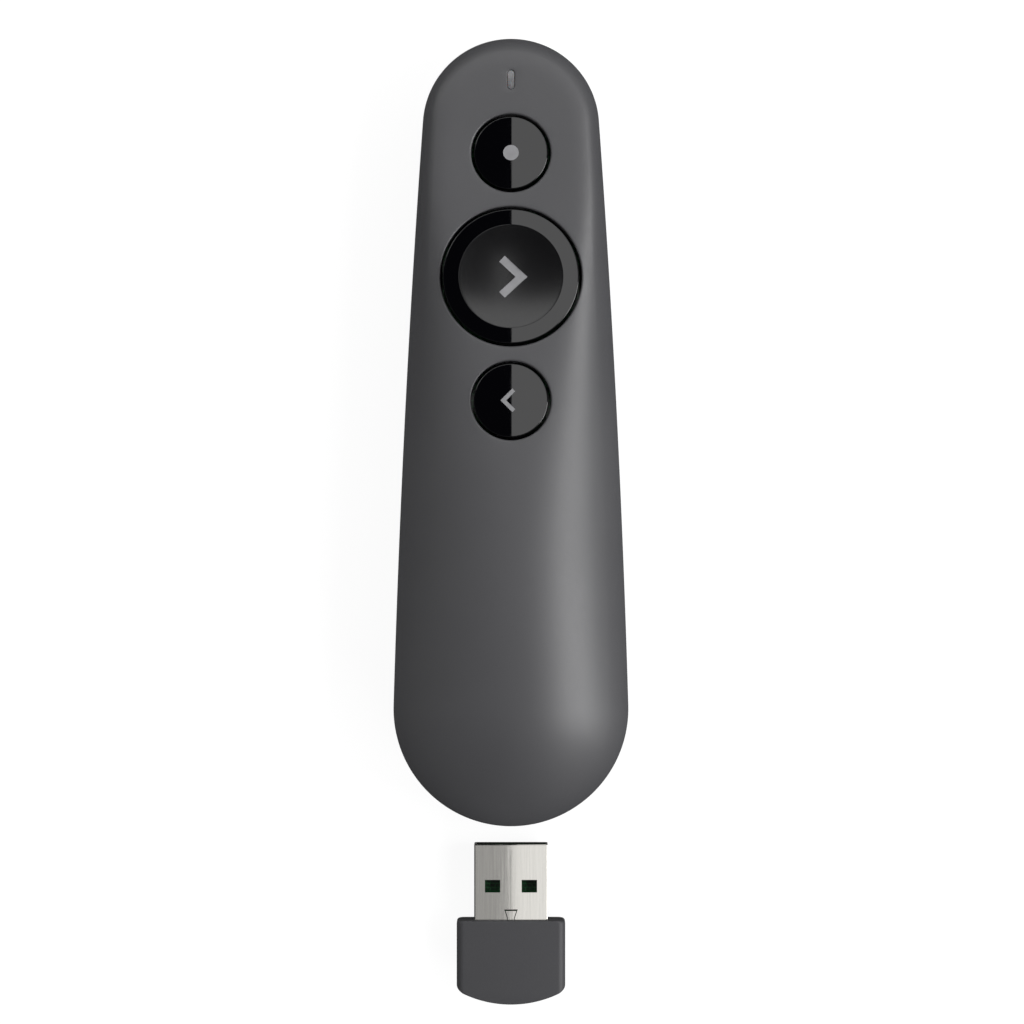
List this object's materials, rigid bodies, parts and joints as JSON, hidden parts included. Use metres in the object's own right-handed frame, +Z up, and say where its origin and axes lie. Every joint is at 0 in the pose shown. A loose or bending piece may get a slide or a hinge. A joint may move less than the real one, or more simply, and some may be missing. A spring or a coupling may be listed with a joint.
{
  "type": "wireless presentation clicker",
  "caption": "Slim hand-held presentation clicker with round buttons on a sloping deck, a laser in its head, a battery door and a USB receiver that stows in its tail.",
  "frame": {"origin": "on the surface that the remote and its receiver lie on, under the middle of the pair", "axes": "+Z up towards the buttons, +Y out of the head where the laser leaves, +X to the right"},
  "size_m": [0.0378, 0.1568, 0.0243],
  "materials": {
    "shell": "fine matt texture, dark grey",
    "inner_plastic": "plain moulded black",
    "board": "solder mask",
    "chips": "moulded epoxy",
    "led": "clear epoxy",
    "light_pipe": "smoky translucent",
    "brass": "turned",
    "steel": "nickel plated",
    "lens": "polished",
    "window": "smoky acrylic",
    "cell": "shrink sleeve",
    "caps": "polished black",
    "icons": "light grey inlay",
    "plungers": "moulded ivory nylon",
    "receiver_plastic": "fine matt texture, dark grey",
    "plug_steel": "nickel plated sheet",
    "gold": "gold flash"
  },
  "bodies": {
    "case": {"top_shell": "shell", "bottom_shell": "shell", "inner_frame": "inner_plastic", "main_board": "board", "board_parts": "chips", "switch_cases": "chips", "status_led": "led", "light_pipe": "light_pipe", "laser_barrel": "brass", "laser_diode": "steel", "laser_lens": "lens", "laser_window": "window", "cell_left": "cell", "cell_right": "cell", "cell_springs": "steel", "cell_contacts": "steel", "case_screws": "steel", "board_screws": "steel"},
    "laser_key": {"laser_button": "caps", "laser_icon": "icons", "laser_plunger": "plungers"},
    "next_key": {"next_button": "caps", "next_icon": "icons", "next_plunger": "plungers"},
    "back_key": {"back_button": "caps", "back_icon": "icons", "back_plunger": "plungers"},
    "door": {"battery_door": "shell"},
    "receiver": {"receiver_housing": "receiver_plastic", "plug_shell": "plug_steel", "plug_carrier": "inner_plastic", "plug_contacts": "gold", "receiver_board": "board", "receiver_parts": "chips"}
  },
  "joints": [
    {"name": "laser_press", "type": "slide", "parent": "case", "child": "laser_key", "axis": [0, -0.1132, -0.9936], "range_m": [0, 0.0005], "stiffness_N_per_m": 3000},
    {"name": "next_press", "type": "slide", "parent": "case", "child": "next_key", "axis": [0, -0.1132, -0.9936], "range_m": [0, 0.0005], "stiffness_N_per_m": 3000},
    {"name": "back_press", "type": "slide", "parent": "case", "child": "back_key", "axis": [0, -0.1132, -0.9936], "range_m": [0, 0.0005], "stiffness_N_per_m": 3000},
    {"name": "door_swing", "type": "hinge", "parent": "case", "child": "door", "pos_m": [0, 0.03251, 0.00135], "axis": [1, 0, 0], "range_deg": [0, 70]},
    {"name": "receiver_stow", "type": "slide", "parent": "case", "child": "receiver", "axis": [0, 1, 0], "range_m": [0, 0.0305]}
  ]
}
